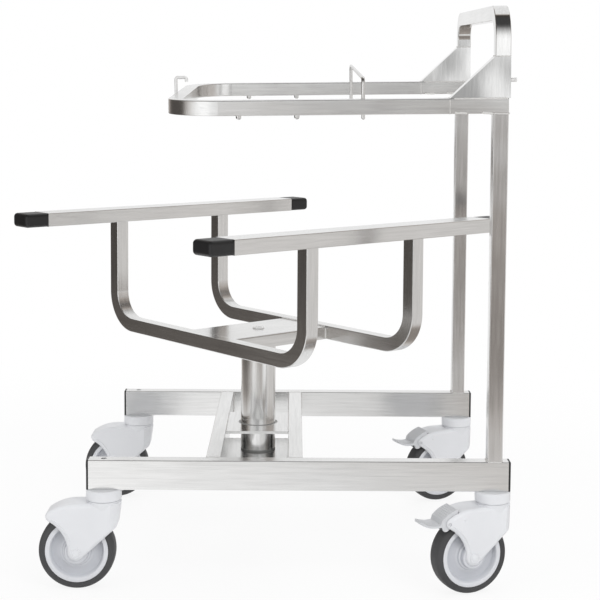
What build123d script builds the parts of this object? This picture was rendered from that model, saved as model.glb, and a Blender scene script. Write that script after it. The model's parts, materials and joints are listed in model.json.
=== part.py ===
"""Gastronorm container trolley.

A tube base on four swivel casters carries two rear posts with an upper pan frame and a push handle,
and a column with a turning cradle for a second pan. X runs towards the handle, Y away from the viewer.
"""
from build123d import *
import os
from math import acos, atan2, cos, degrees, hypot, radians, sin

# Tube stock
TUBE = 25.0             # side of the square tube, and the narrow side of the rectangular one
TUBE_DEPTH = 50.0       # wide side of the rectangular tube
TUBE_WALL = 2.0
TUBE_CORNER = 1.5

# Clearances
RUNNING = 0.3           # between pieces that turn on each other
PLUG_FIT = 0.1          # between a push-in plug and its tube

# Base
RAIL_LENGTH = 696.0
RAIL_SPACING = 534.0    # centre to centre, so that a 530 mm pan rests across the frame above
RAIL_CAP = 3.5          # part of an end cap that shows
RAIL_PLUG = 18.0        # part of an end cap inside the tube
RAIL_CAP_ROUND = 1.0
CROSS_PITCH = 137.0
COLUMN_X = -74.0
SOCKET_LENGTH = 150.0
SOCKET_PLATE = 5.0

# Column
COLUMN_DIA = 63.5
COLUMN_WALL = 3.0
BUSH_WALL = 4.0
BUSH_HEIGHT = 9.0
WASHER = 3.0
FOOT = 6.0
PIVOT_DIA = 20.0
NUT_ACROSS = 30.0
NUT_HEIGHT = 9.0
NUT_GAP = 1.5
PIVOT_TAIL = 3.0
CHANNEL_RISE = 174.0    # top of the channel above the base rails
COLUMN_BOLT_DIA = 12.0
COLUMN_BOLT_HEAD = 22.0
COLUMN_BOLT_RISE = 4.0
COLUMN_BOLT_LENGTH = 16.0
COLUMN_BOLT_CHAMFER = 2.0

# Cradle
CRADLE_TURN = 40.0      # angle at which the cradle is left
CHANNEL_WIDTH = 128.0
CHANNEL_WALL = 3.0
CHANNEL_DEPTH = 23.0
CHANNEL_STEP = 2.0      # the bows stand this much above the channel
BOW_PITCH = 241.0
BOW_DEPTH = 232.0       # underside of the bow to the top of the cradle rail
BOW_BEND = 60.0         # centre-line radius
CRADLE_SPACING = 558.0
CRADLE_RAIL = 580.0
CRADLE_CAP = 46.0
CRADLE_PLUG = 20.0
CRADLE_CAP_CORNER = 7.0
CRADLE_CAP_ROUND = 6.5

# Posts, upper frame and handle
POST_INSET = 23.0       # rail's end to the middle of a post
FRAME_RISE = 586.0      # underside of the frame above the base rails, over the middle of the base
FRAME_LEAN = 3.1        # degrees, far side up
FRAME_DROOP = 0.9       # degrees, left end down
FRAME_LEFT = -222.0     # outer face of the left bar
FRAME_BEND = 75.0       # centre-line radius
FRAME_SEAM = 95.5       # length of a frame end, up to the bent tube
BRACKET_RISE = 68.0
BRACKET_PROUD = 3.0     # bracket and handle behind the frame ends
BRACKET_WALL = 2.0
HANDLE_RISE_NEAR = 82.0
HANDLE_RISE_FAR = 66.0
HANDLE_BEND = 40.0

# Rods and fixings on the upper frame
ROD = 6.0
ROD_FLAT = 0.4          # depth of the weld flat where a rod lies on a tube
BAIL_X = 102.5
BAIL_RISE = 36.0
BAIL_TAIL = 7.0
BAIL_BEND = 9.0
HOOK_RISE = 28.0
HOOK_FOOT = 16.0        # how far the hook reaches down the bar
HOOK_REACH = 19.0
HOOK_LIP = 5.0
HOOK_BEND = 4.0
FIXING_X = (-101.5, -6.5)
FIXING_STUD = 5.0
FIXING_DOME = 9.0
FIXING_COLLAR = 3.0
STUB_DIA = 7.0
STUB_LENGTH = 11.0
STUB_RISE = 29.0        # above the top of the frame

# Casters
CASTER_INSET = 24.5     # rail's end to the swivel axis
CASTER_TURN = {"near_left": 0.0, "near_right": 20.0, "far_left": 0.0, "far_right": 20.0}
BRAKED = ("near_right", "far_right")
WHEEL_DIA = 128.0
WHEEL_WIDTH = 32.0
TYRE_DEPTH = 11.0
TYRE_SHOULDER = 4.0     # how much lower the tyre's edges are than its tread
TYRE_TREAD = 18.0       # width of the level tread
TRAIL = 44.0
HOOD_RISE = 21.5        # top of the tyre to the underside of the neck
HOOD_GAP = 4.0          # tyre to the inside of the hood
HOOD_STEP = 3.0         # hood below the underside of the neck
NECK_DIA = 59.0
NECK_HEIGHT = 18.0
NECK_CHAMFER = 1.5
STEM_DIA = 12.0
STEM_TOP_GAP = 1.0
STEM_SIGHT = 9.0        # hole in the rail over a stem
KINGPIN_DIA = 20.0
KINGPIN_LENGTH = 17.0
HOUSING_WIDTH = 52.0
HOUSING_EDGE = 6.5      # rounding along the hood and the cheeks
CHEEK = 4.5
BOSS_DIA = 28.0
NOSE_ANGLE = 40.0       # from the vertical through the axle
LIP_ANGLE = 42.0
LIP_GAP = 7.5           # tyre to the lower lip of the nose
BACK_DROP = 42.0
BACK_TAPER = 6.0
BACK_ROUND = 10.0
NOSE_ROUND = 8.0
TURRET_DROP = 20.0
TURRET_INSET = 1.0      # turret inside the neck at its top and inside the housing's side at its foot
HEEL_TAPER = 3.0        # how much narrower the round heel gets towards the axle
AXLE_DIA = 12.0
AXLE_HEAD = 18.0
AXLE_HEAD_RISE = 1.2
HUB_DIA = 38.0
HUB_SIDE = 0.5          # hub to cheek
HUB_FLARE = 3.0         # slope from the hub to the web
WEB = 9.0
RIM_LIP = 8.0
RIM_FLARE = 3.0         # slope from the web to the rim
RIM_INSET = 1.0         # rim's side inside the tyre's

# Brake pedal, its outline measured from its pin
PEDAL_ANGLE = 37.0      # place of the pin, from the vertical through the axle
PEDAL_PIVOT_GAP = 12.0  # tyre to the pin
PEDAL_WIDTH = 40.0
PEDAL_SIDE = 1.0        # pedal to the slot's wall
PEDAL_PIN = 5.0
PEDAL_TAIL = 16.0       # reach of the ramp behind the pin
PEDAL_TAIL_RISE = 22.0
PEDAL_TAIL_END = 6.0    # thickness of the ramp at its end
PEDAL_CREST = 15.0      # ramp above the pin
PEDAL_RAMP = 12.0       # foot of the ramp ahead of the pin
PEDAL_RAMP_FOOT = 5.0
PEDAL_TOE = 48.5        # reach of the toe tab ahead of the pin
PEDAL_TOE_ROUND = 16.0  # corners of the toe tab, seen from above
PEDAL_TOE_RISE = 6.0
PEDAL_TAB = 3.5         # thickness of the toe tab
PEDAL_TAB_TOP = -1.5
PEDAL_SHOE = 8.0        # brake shoe ahead of the pin
PEDAL_SHOE_DROP = 13.0
PEDAL_SHOE_LENGTH = 5.0
PEDAL_BOSS = 6.0        # pedal behind and under its pin
PEDAL_ROUND = 1.0
PEDAL_SWEEP = 18.5      # room behind the pin

# Worked out from the sizes above
HALF = TUBE / 2
WHEEL_R = WHEEL_DIA / 2
NECK_BOTTOM = WHEEL_DIA + HOOD_RISE
RAIL_BOTTOM = NECK_BOTTOM + NECK_HEIGHT
RAIL_TOP = RAIL_BOTTOM + TUBE_DEPTH
SIDE_Y = {"near": -RAIL_SPACING / 2, "far": RAIL_SPACING / 2}
SIDE_X = {"left": -1, "right": 1}
CASTER_X = RAIL_LENGTH / 2 - CASTER_INSET
POST_X = RAIL_LENGTH / 2 - POST_INSET
FRAME_END = POST_X + HALF
FRAME_JOIN = FRAME_END - FRAME_SEAM
HANDLE_X = POST_X + BRACKET_PROUD
FRAME_PLACE = Pos(0, 0, RAIL_TOP + FRAME_RISE) * Rot(FRAME_LEAN, -FRAME_DROOP, 0)
CHANNEL_TOP = RAIL_TOP + CHANNEL_RISE
BOW_BOTTOM = CHANNEL_TOP + CHANNEL_STEP - TUBE
CRADLE_TOP = BOW_BOTTOM + BOW_DEPTH
CRADLE_PLACE = Pos(COLUMN_X, 0, 0) * Rot(0, 0, CRADLE_TURN)
FOOT_BOTTOM = RAIL_BOTTOM + WASHER + RUNNING
HOOD_TOP = NECK_BOTTOM - RUNNING
CAVITY_WIDTH = HOUSING_WIDTH - 2 * CHEEK
STANDING = (Align.CENTER, Align.CENTER, Align.MIN)
HANGING = (Align.CENTER, Align.CENTER, Align.MAX)


def section(plane, width, height, corner):
    """Rounded rectangle on a plane, width along the plane's own x."""
    return plane * RectangleRounded(width, height, corner)


def straight_tube(plane, length, width=TUBE, height=TUBE):
    """Hollow tube from the plane along its normal."""
    outer = extrude(section(plane, width, height, TUBE_CORNER), length)
    return outer - extrude(plane * Rectangle(width - 2 * TUBE_WALL, height - 2 * TUBE_WALL), length)


def bent_tube(points, bend, across):
    """Hollow square tube along straight runs joined by bends of one radius."""
    path = FilletPolyline(*points, radius=bend)
    plane = Plane(points[0], x_dir=across, z_dir=Vector(*points[1]) - Vector(*points[0]))
    outer = sweep(section(plane, TUBE, TUBE, TUBE_CORNER), path=path)
    bore = TUBE - 2 * TUBE_WALL
    return outer - sweep(plane * Rectangle(bore, bore), path=path)


def bent_rod(points, bend, across):
    """Round rod along straight runs joined by bends of one radius."""
    path = FilletPolyline(*points, radius=bend)
    plane = Plane(points[0], x_dir=across, z_dir=Vector(*points[1]) - Vector(*points[0]))
    return sweep(plane * Circle(ROD / 2), path=path)


def upright(diameter, bottom, top):
    """Solid round bar on the Z axis."""
    return Pos(0, 0, bottom) * Cylinder(diameter / 2, top - bottom, align=STANDING)


def cap(length, plug, width, height, corner, rounding):
    """End cap whose seat is at X = 0, with its plug towards -X; width along Y."""
    block = extrude(section(Plane.YZ, width, height, corner), length)
    block = fillet(block.faces().sort_by(Axis.X)[-1].edges(), rounding)
    bore = 2 * (TUBE_WALL + PLUG_FIT)
    return block + extrude(Plane.YZ * Rectangle(width - bore, height - bore), -plug)


def base_pieces():
    """Rails, their end caps, cross members and socket plates."""
    pieces = {}
    middle = RAIL_TOP - TUBE_DEPTH / 2
    for side, y in SIDE_Y.items():
        start = Plane((-RAIL_LENGTH / 2, y, middle), x_dir=(0, 1, 0), z_dir=(1, 0, 0))
        rail = straight_tube(start, RAIL_LENGTH, TUBE, TUBE_DEPTH)
        for sign in SIDE_X.values():
            rail -= Pos(sign * CASTER_X, y, 0) * upright(STEM_DIA, RAIL_BOTTOM, RAIL_BOTTOM + TUBE_DEPTH / 2)
        rail -= Pos(-CASTER_X, y, 0) * upright(STEM_SIGHT, RAIL_TOP - TUBE_DEPTH / 2, RAIL_TOP)
        pieces[f"base_rail_{side}"] = rail
        plug = cap(RAIL_CAP, RAIL_PLUG, TUBE, TUBE_DEPTH, TUBE_CORNER, RAIL_CAP_ROUND)
        pieces[f"rail_cap_{side}_right"] = Pos(RAIL_LENGTH / 2, y, middle) * plug
        pieces[f"rail_cap_{side}_left"] = Pos(-RAIL_LENGTH / 2, y, middle) * Rot(0, 0, 180) * plug

    span = RAIL_SPACING - TUBE
    for end, sign in SIDE_X.items():
        x = COLUMN_X + sign * CROSS_PITCH / 2
        start = Plane((x, -span / 2, middle), x_dir=(1, 0, 0), z_dir=(0, 1, 0))
        pieces[f"cross_member_{end}"] = straight_tube(start, span, TUBE, TUBE_DEPTH)

    bush_dia = COLUMN_DIA + 2 * (RUNNING + BUSH_WALL)
    upper = Pos(0, 0, RAIL_TOP) * Box(CROSS_PITCH - TUBE, SOCKET_LENGTH, SOCKET_PLATE, align=HANGING)
    upper -= upright(bush_dia, RAIL_BOTTOM, RAIL_TOP)
    lower = Pos(0, 0, RAIL_BOTTOM) * Box(CROSS_PITCH + TUBE, SOCKET_LENGTH, SOCKET_PLATE, align=HANGING)
    lower -= upright(PIVOT_DIA + 2 * RUNNING, RAIL_BOTTOM - SOCKET_PLATE, RAIL_BOTTOM)
    bush = upright(bush_dia, RAIL_TOP - BUSH_HEIGHT, RAIL_TOP)
    bush -= upright(COLUMN_DIA + 2 * RUNNING, RAIL_TOP - BUSH_HEIGHT, RAIL_TOP)
    washer = upright(COLUMN_DIA, RAIL_BOTTOM, RAIL_BOTTOM + WASHER)
    washer -= upright(PIVOT_DIA + 2 * RUNNING, RAIL_BOTTOM, RAIL_BOTTOM + WASHER)
    socket = {"socket_plate_upper": upper, "socket_plate_lower": lower}
    socket |= {"column_bush": bush, "thrust_washer": washer}
    for name, piece in socket.items():
        pieces[name] = Pos(COLUMN_X, 0, 0) * piece
    return pieces


def frame_pieces():
    """Posts, upper pan frame, brackets, handle and the rods on the frame."""
    pieces = {}
    underside = Plane(FRAME_PLACE)
    reach = FRAME_RISE + RAIL_SPACING
    for side, y in SIDE_Y.items():
        post = straight_tube(Plane((POST_X, y, RAIL_TOP)), reach)
        pieces[f"post_{side}"] = split(post, bisect_by=underside, keep=Keep.BOTTOM)

    level = {}
    near, far = SIDE_Y["near"], SIDE_Y["far"]
    left = FRAME_LEFT + HALF
    bar = [(FRAME_JOIN, near, HALF), (left, near, HALF), (left, far, HALF), (FRAME_JOIN, far, HALF)]
    level["top_frame"] = bent_tube(bar, FRAME_BEND, (0, 0, 1))
    top = TUBE + BRACKET_RISE
    for side, y in SIDE_Y.items():
        start = Plane((FRAME_JOIN, y, HALF), x_dir=(0, 1, 0), z_dir=(1, 0, 0))
        open_length = FRAME_SEAM - TUBE_WALL
        end_wall = extrude(section(start, TUBE, TUBE, TUBE_CORNER), TUBE_WALL)
        level[f"frame_end_{side}"] = straight_tube(start, open_length) + Pos(open_length, 0, 0) * end_wall
        level[f"handle_bracket_{side}"] = Pos(0, y, 0) * bracket()
    legs = [(HANDLE_X, near, top), (HANDLE_X, near, top + HANDLE_RISE_NEAR - HALF)]
    legs += [(HANDLE_X, far, top + HANDLE_RISE_FAR - HALF), (HANDLE_X, far, top)]
    level["handle"] = bent_tube(legs, HANDLE_BEND, (1, 0, 0))
    level["pan_stop_bail"] = bail()
    level["pan_hook"] = hook()
    level["dome_fixings"] = fixings()
    stub_place = Pos(FRAME_END + BRACKET_PROUD, near, TUBE + STUB_RISE) * Rot(0, 90, 0)
    level["stub_pin"] = stub_place * upright(STUB_DIA, 0, STUB_LENGTH)
    for name, piece in level.items():
        pieces[name] = FRAME_PLACE * piece
    return pieces


def bracket():
    """Hollow wedge of sheet, open below, that carries one leg of the handle."""
    top = TUBE + BRACKET_RISE
    rear = FRAME_END + BRACKET_PROUD
    outline = Polyline((FRAME_JOIN, TUBE), (rear, TUBE), (rear, top), (rear - TUBE, top), close=True)
    face = make_face(Plane.XZ * outline)
    inner = offset(face, -BRACKET_WALL, kind=Kind.INTERSECTION)
    wedge = extrude(face, HALF, both=True)
    hollow = extrude(inner, HALF - BRACKET_WALL, both=True)
    return wedge - hollow - Pos(0, 0, -BRACKET_WALL) * hollow


def bail():
    """Rod loop that stops a pan, welded to the inner faces of the two bars."""
    inset = RAIL_SPACING / 2 - HALF - ROD / 2 + ROD_FLAT
    rise = TUBE + BAIL_RISE - ROD / 2
    points = [(BAIL_X, -inset, -BAIL_TAIL), (BAIL_X, -inset, rise)]
    points += [(BAIL_X, inset, rise), (BAIL_X, inset, -BAIL_TAIL)]
    rod = bent_rod(points, BAIL_BEND, (1, 0, 0))
    for sign in (-1, 1):
        rod += Pos(BAIL_X, sign * inset, -BAIL_TAIL) * Sphere(ROD / 2)
        rod -= Pos(BAIL_X, sign * RAIL_SPACING / 2, HALF) * Box(TUBE, TUBE, TUBE)
    return rod


def hook():
    """Rod hook on the outer face of the left bar, turned in over the pan's rim."""
    x = FRAME_LEFT - ROD / 2 + ROD_FLAT
    rise = TUBE + HOOK_RISE - ROD / 2
    tip = x + HOOK_REACH
    points = [(x, 0, TUBE - HOOK_FOOT), (x, 0, rise), (tip, 0, rise), (tip, 0, rise - HOOK_LIP - ROD / 2)]
    rod = bent_rod(points, HOOK_BEND, (0, 1, 0))
    return rod - Pos(FRAME_LEFT + HALF, 0, HALF) * Box(TUBE, TUBE, TUBE)


def fixings():
    """Studs with domed nuts under the two bars."""
    ball = FIXING_DOME / 2
    stud = upright(FIXING_STUD, -FIXING_COLLAR, 0)
    collar = upright(FIXING_DOME, -FIXING_COLLAR, 0)
    dome = Pos(0, 0, -FIXING_COLLAR) * Sphere(ball) - upright(3 * ball, -FIXING_COLLAR, ball)
    nut = collar + stud + dome
    return Compound([Pos(x, y, 0) * nut.solid() for x in FIXING_X for y in SIDE_Y.values()])


def cradle_pieces():
    """Column with its foot, nut and bolt, channel, bows, rails and end caps."""
    pieces = {}
    under = CHANNEL_TOP - CHANNEL_WALL
    column = upright(COLUMN_DIA, FOOT_BOTTOM + FOOT, under)
    pieces["column"] = column - upright(COLUMN_DIA - 2 * COLUMN_WALL, FOOT_BOTTOM + FOOT, under)
    nut_top = RAIL_BOTTOM - SOCKET_PLATE - NUT_GAP
    pivot = upright(PIVOT_DIA, nut_top - NUT_HEIGHT - PIVOT_TAIL, FOOT_BOTTOM)
    pieces["column_foot"] = upright(COLUMN_DIA, FOOT_BOTTOM, FOOT_BOTTOM + FOOT) + pivot
    hexagon = RegularPolygon(NUT_ACROSS / 2, 6, major_radius=False)
    nut = Pos(0, 0, nut_top - NUT_HEIGHT) * extrude(hexagon - Circle(PIVOT_DIA / 2), NUT_HEIGHT)
    pieces["column_nut"] = nut

    channel_length = BOW_PITCH - TUBE
    channel = Pos(0, 0, CHANNEL_TOP) * Box(channel_length, CHANNEL_WIDTH, CHANNEL_DEPTH, align=HANGING)
    channel = fillet(channel.faces().sort_by(Axis.Z)[-1].edges().filter_by(Axis.X), CHANNEL_WALL)
    hollow = CHANNEL_WIDTH - 2 * CHANNEL_WALL
    channel -= Pos(0, 0, under) * Box(channel_length, hollow, CHANNEL_DEPTH, align=HANGING)
    channel -= upright(COLUMN_BOLT_DIA, under, CHANNEL_TOP)
    pieces["cradle_channel"] = channel
    bolt = upright(COLUMN_BOLT_DIA, CHANNEL_TOP - COLUMN_BOLT_LENGTH, CHANNEL_TOP)
    head = upright(COLUMN_BOLT_HEAD, CHANNEL_TOP, CHANNEL_TOP + COLUMN_BOLT_RISE)
    head = chamfer(head.faces().sort_by(Axis.Z)[-1].edges(), COLUMN_BOLT_CHAMFER)
    pieces["column_bolt"] = bolt + head

    half = CRADLE_SPACING / 2
    low = BOW_BOTTOM + HALF
    high = CRADLE_TOP - TUBE
    for end, sign in SIDE_X.items():
        x = sign * BOW_PITCH / 2
        points = [(x, -half, high), (x, -half, low), (x, half, low), (x, half, high)]
        pieces[f"cradle_bow_{end}"] = bent_tube(points, BOW_BEND, (1, 0, 0))
    plug = cap(CRADLE_CAP, CRADLE_PLUG, TUBE_DEPTH, TUBE, CRADLE_CAP_CORNER, CRADLE_CAP_ROUND)
    for side, sign in (("near", -1), ("far", 1)):
        middle = CRADLE_TOP - HALF
        start = Plane((-CRADLE_RAIL / 2, sign * half, middle), x_dir=(0, 1, 0), z_dir=(1, 0, 0))
        pieces[f"cradle_rail_{side}"] = straight_tube(start, CRADLE_RAIL, TUBE_DEPTH, TUBE)
        pieces[f"cradle_cap_{side}_right"] = Pos(CRADLE_RAIL / 2, sign * half, middle) * plug
        pieces[f"cradle_cap_{side}_left"] = Pos(-CRADLE_RAIL / 2, sign * half, middle) * Rot(0, 0, 180) * plug
    return {name: CRADLE_PLACE * piece for name, piece in pieces.items()}


def from_axle(radius, angle):
    """Point on the caster's side view, by its distance from the axle and its angle from the vertical."""
    turn = radians(angle)
    return (-TRAIL - radius * sin(turn), WHEEL_R + radius * cos(turn))


def across(solid):
    """Turn a piece made on the Z axis so that it lies on the wheel's axle."""
    return Pos(-TRAIL, 0, WHEEL_R) * Rot(90, 0, 0) * solid


def centred(diameter, width):
    """Round bar about the origin on the Z axis."""
    return Cylinder(diameter / 2, width)


def housing_outline():
    """Side view of the moulded housing: hood, nose, cheek and axle boss."""
    heel = NECK_DIA / 2
    boss = BOSS_DIA / 2
    hood = HOOD_TOP - WHEEL_R - HOOD_STEP
    crown = from_axle(hood, 0)
    nose = from_axle(hood, NOSE_ANGLE)
    lip = from_axle(WHEEL_R + LIP_GAP, LIP_ANGLE)
    boss_front = from_axle(boss, 90)
    back = (heel - BACK_TAPER, HOOD_TOP - BACK_DROP)
    run, rise = back[0] + TRAIL, back[1] - WHEEL_R
    boss_back = from_axle(boss, -degrees(atan2(run, rise) + acos(boss / hypot(run, rise))))
    edges = [
        ThreePointArc(crown, from_axle(hood, NOSE_ANGLE / 2), nose),
        Line(nose, lip),
        TangentArc(boss_front, lip, tangent=(0, 1)),
        ThreePointArc(boss_front, from_axle(boss, 180), boss_back),
        Line(boss_back, back),
        Line(back, (heel, HOOD_TOP - HOOD_STEP)),
        Line((heel, HOOD_TOP - HOOD_STEP), crown),
    ]
    face = make_face([Plane.XZ * edge for edge in edges])
    for (x, z), radius in ((nose, NOSE_ROUND), (lip, NOSE_ROUND), (back, BACK_ROUND)):
        face = fillet(face.vertices().sort_by_distance((x, 0, z))[0], radius)
    return face


def housing(braked):
    """Moulded caster housing, with a slot in its nose where a brake pedal sits."""
    block = extrude(housing_outline(), HOUSING_WIDTH / 2, both=True)
    sides = block.faces().sort_by(Axis.Y)
    block = fillet(sides[0].edges() + sides[-1].edges(), HOUSING_EDGE)
    neck = NECK_DIA / 2
    heel = Cone(neck - HEEL_TAPER, neck, HOOD_TOP, align=HANGING)
    behind = Box(NECK_DIA, 2 * NECK_DIA, HOOD_TOP, align=(Align.MIN, Align.CENTER, Align.MAX))
    block -= Pos(NECK_DIA / 8, 0, HOOD_TOP) * behind - Pos(0, 0, HOOD_TOP) * heel
    turret = Cone(HOUSING_WIDTH / 2 - TURRET_INSET, neck - TURRET_INSET, TURRET_DROP, align=HANGING)
    block += Pos(0, 0, HOOD_TOP) * turret
    block -= across(centred(WHEEL_DIA + 2 * HOOD_GAP, CAVITY_WIDTH))
    block -= across(centred(AXLE_DIA, HOUSING_WIDTH))
    block -= upright(KINGPIN_DIA + 2 * RUNNING, NECK_BOTTOM - KINGPIN_LENGTH - RUNNING, NECK_BOTTOM)
    if braked:
        x, z = pedal_pivot()
        ahead = (Align.MAX, Align.CENTER, Align.MIN)
        slot = Box(TRAIL + WHEEL_DIA, PEDAL_WIDTH + 2 * PEDAL_SIDE, WHEEL_DIA, align=ahead)
        block -= Pos(x + PEDAL_SWEEP, 0, WHEEL_R + HOOD_GAP) * slot
        block -= Pos(x, 0, z) * Rot(90, 0, 0) * centred(PEDAL_PIN + 2 * RUNNING, HOUSING_WIDTH)
    return block


def pedal_pivot():
    """Place of the pedal's pin on the caster's side view."""
    return from_axle(WHEEL_R + PEDAL_PIVOT_GAP, PEDAL_ANGLE)


def pedal_outline():
    """Side view of the pedal about its pin: ramp, toe tab and brake shoe."""
    tail = (PEDAL_TAIL, PEDAL_TAIL_RISE)
    ramp_foot = (-PEDAL_RAMP, PEDAL_RAMP_FOOT)
    tab_root = (-PEDAL_RAMP - PEDAL_TAB / 2, PEDAL_TAB_TOP)
    toe = (-PEDAL_TOE, PEDAL_TOE_RISE)
    toe_under = (-PEDAL_TOE - PEDAL_TAB / 2, PEDAL_TOE_RISE - PEDAL_TAB)
    tab_under = (-PEDAL_RAMP, PEDAL_TAB_TOP - PEDAL_TAB)
    middle = -(PEDAL_TOE + PEDAL_RAMP) / 2
    shoe = (-PEDAL_SHOE, -PEDAL_SHOE_DROP)
    shoe_end = (PEDAL_SHOE_LENGTH - PEDAL_SHOE, -PEDAL_SHOE_DROP)
    edges = [
        ThreePointArc(tail, (0, PEDAL_CREST), ramp_foot),
        Line(ramp_foot, tab_root),
        ThreePointArc(tab_root, (middle, PEDAL_TAB_TOP), toe),
        Line(toe, toe_under),
        ThreePointArc(toe_under, (middle, PEDAL_TAB_TOP - PEDAL_TAB), tab_under),
        Polyline(tab_under, shoe, shoe_end, (PEDAL_BOSS, -PEDAL_BOSS)),
        Polyline((PEDAL_BOSS, -PEDAL_BOSS), (PEDAL_TAIL, PEDAL_TAIL_RISE - PEDAL_TAIL_END), tail),
    ]
    face = make_face([Plane.XZ * edge for edge in edges])
    return fillet(face.vertices(), PEDAL_ROUND)


def pedal():
    """Toe lever with its pin; its shoe stops just short of the tyre."""
    x, z = pedal_pivot()
    tongue = Rectangle(2 * PEDAL_TOE, PEDAL_WIDTH)
    tongue = extrude(fillet(tongue.vertices(), PEDAL_TOE_ROUND), PEDAL_TOE, both=True)
    lever = extrude(pedal_outline(), PEDAL_WIDTH, both=True) & tongue
    lever += Rot(90, 0, 0) * centred(PEDAL_PIN, HOUSING_WIDTH - CHEEK / 2)
    return Pos(x, 0, z) * lever


def wheel_core():
    """Dished wheel with its hub and rim."""
    hub, rim = HUB_DIA / 2, WHEEL_R - TYRE_DEPTH
    hub_half = CAVITY_WIDTH / 2 - HUB_SIDE
    rim_half = WHEEL_WIDTH / 2 - RIM_INSET
    bore = AXLE_DIA / 2 + RUNNING
    dish = [(hub + HUB_FLARE, WEB), (rim - RIM_LIP - RIM_FLARE, WEB / 2)]
    side = [(bore, hub_half), (hub, hub_half), *dish, (rim - RIM_LIP, rim_half), (rim, rim_half)]
    outline = side + [(r, -h) for r, h in reversed(side)]
    return across(revolve(make_face(Plane.XZ * Polyline(*outline, close=True)), Axis.Z))


def tyre():
    """Rubber tyre with a level tread and sloping shoulders."""
    rim = WHEEL_R - TYRE_DEPTH
    side = [(rim, WHEEL_WIDTH / 2), (WHEEL_R - TYRE_SHOULDER, WHEEL_WIDTH / 2), (WHEEL_R, TYRE_TREAD / 2)]
    outline = side + [(r, -h) for r, h in reversed(side)]
    return across(revolve(make_face(Plane.XZ * Polyline(*outline, close=True)), Axis.Z))


def caster_mount():
    """Fixed neck with its stem in the rail and its kingpin in the housing."""
    neck = upright(NECK_DIA, NECK_BOTTOM, RAIL_BOTTOM)
    neck = chamfer(neck.edges().filter_by(GeomType.CIRCLE), NECK_CHAMFER)
    neck += upright(STEM_DIA, RAIL_BOTTOM, RAIL_TOP - TUBE_WALL - STEM_TOP_GAP)
    return neck + upright(KINGPIN_DIA, NECK_BOTTOM - KINGPIN_LENGTH, NECK_BOTTOM)


def axle():
    """Axle with a flat head outside each cheek."""
    shaft = centred(AXLE_DIA, HOUSING_WIDTH)
    half = HOUSING_WIDTH / 2
    for sign in (-1, 1):
        shaft += Pos(0, 0, sign * (half + AXLE_HEAD_RISE / 2)) * centred(AXLE_HEAD, AXLE_HEAD_RISE)
    return across(shaft)


def caster_pieces():
    """Four casters at the ends of the rails, each turned as it was left."""
    pieces = {}
    shared = {"caster_mount": caster_mount(), "caster_axle": axle()}
    shared |= {"wheel_core": wheel_core(), "wheel_tyre": tyre()}
    housings = {braked: housing(braked) for braked in (False, True)}
    lever = pedal()
    for corner, turn in CASTER_TURN.items():
        side, end = corner.split("_")
        place = Pos(SIDE_X[end] * CASTER_X, SIDE_Y[side], 0) * Rot(0, 0, turn)
        for name, piece in shared.items():
            pieces[f"{name}_{corner}"] = place * piece
        pieces[f"caster_housing_{corner}"] = place * housings[corner in BRAKED]
        if corner in BRAKED:
            pieces[f"brake_pedal_{corner}"] = place * lever
    return pieces


def assembly():
    """All pieces by name, moved so that the middle of their box stands on the origin."""
    pieces = base_pieces() | frame_pieces() | cradle_pieces() | caster_pieces()
    box = Compound([piece for group in pieces.values() for piece in group.solids()]).bounding_box()
    shift = Pos(-box.center().X, -box.center().Y, -box.min.Z)
    return {name: shift * piece for name, piece in pieces.items()}, shift


def main():
    """Write every piece to its own file."""
    os.makedirs("parts", exist_ok=True)
    pieces, shift = assembly()
    for name, piece in pieces.items():
        export_step(piece, f"parts/{name}.step")
    print(len(pieces), "pieces, shifted by", shift.position)


if __name__ == "__main__":
    main()
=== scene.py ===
"""Looks of the gastronorm container trolley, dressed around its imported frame.

Lengths are in metres, those of the modelled parts in millimetres. X runs towards the push handle,
Y away from the camera and Z up, and the origin is on the floor under the column. The trolley is
brushed stainless tube on moulded plastic casters.
"""
from __future__ import annotations

import json
import logging
import math
from collections.abc import Callable, Iterable, Iterator
from dataclasses import dataclass, field
from enum import Enum
from typing import Any

import bmesh
import bpy
from mathutils import Matrix, Vector

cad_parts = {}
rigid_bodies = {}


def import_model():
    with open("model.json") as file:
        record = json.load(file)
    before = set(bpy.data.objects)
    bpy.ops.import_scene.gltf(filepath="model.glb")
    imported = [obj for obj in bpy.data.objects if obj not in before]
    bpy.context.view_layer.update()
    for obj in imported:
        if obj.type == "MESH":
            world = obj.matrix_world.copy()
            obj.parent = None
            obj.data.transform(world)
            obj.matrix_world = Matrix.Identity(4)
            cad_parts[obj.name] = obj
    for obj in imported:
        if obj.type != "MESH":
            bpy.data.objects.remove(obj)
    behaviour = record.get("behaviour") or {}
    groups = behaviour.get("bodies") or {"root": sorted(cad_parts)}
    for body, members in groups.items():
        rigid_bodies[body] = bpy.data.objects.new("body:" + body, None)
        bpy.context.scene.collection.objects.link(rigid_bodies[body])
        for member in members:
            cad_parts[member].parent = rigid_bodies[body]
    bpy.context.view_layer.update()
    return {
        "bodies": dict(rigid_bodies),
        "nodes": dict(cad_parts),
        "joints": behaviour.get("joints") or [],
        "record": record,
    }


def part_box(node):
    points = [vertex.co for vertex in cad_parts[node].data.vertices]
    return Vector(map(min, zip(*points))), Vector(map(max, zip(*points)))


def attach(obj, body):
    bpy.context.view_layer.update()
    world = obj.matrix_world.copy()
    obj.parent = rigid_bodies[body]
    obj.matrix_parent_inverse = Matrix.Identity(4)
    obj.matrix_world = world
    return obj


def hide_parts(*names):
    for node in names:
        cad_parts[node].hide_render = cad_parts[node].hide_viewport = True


LOG = logging.getLogger("trolley")
MM = 0.001
# attribute that carries painted shade on the wheel core: darker in its dish, creases and hub
PAINTED_SHADE = "painted_shade"
DOUBLES = 0.002  # millimetres within which vertices are one
AT_END = 0.999  # share of half a length beyond which a vertex is at its end
WELD_CLOUD = 3.0  # size and height of the welds' ripples in millimetres
WELD_RIPPLE = 1.1
WELD_SMOOTH = 75.0  # degrees below which their edges are smooth
Colour = tuple[float, float, float, float]
Point = tuple[float, float, float]
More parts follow.
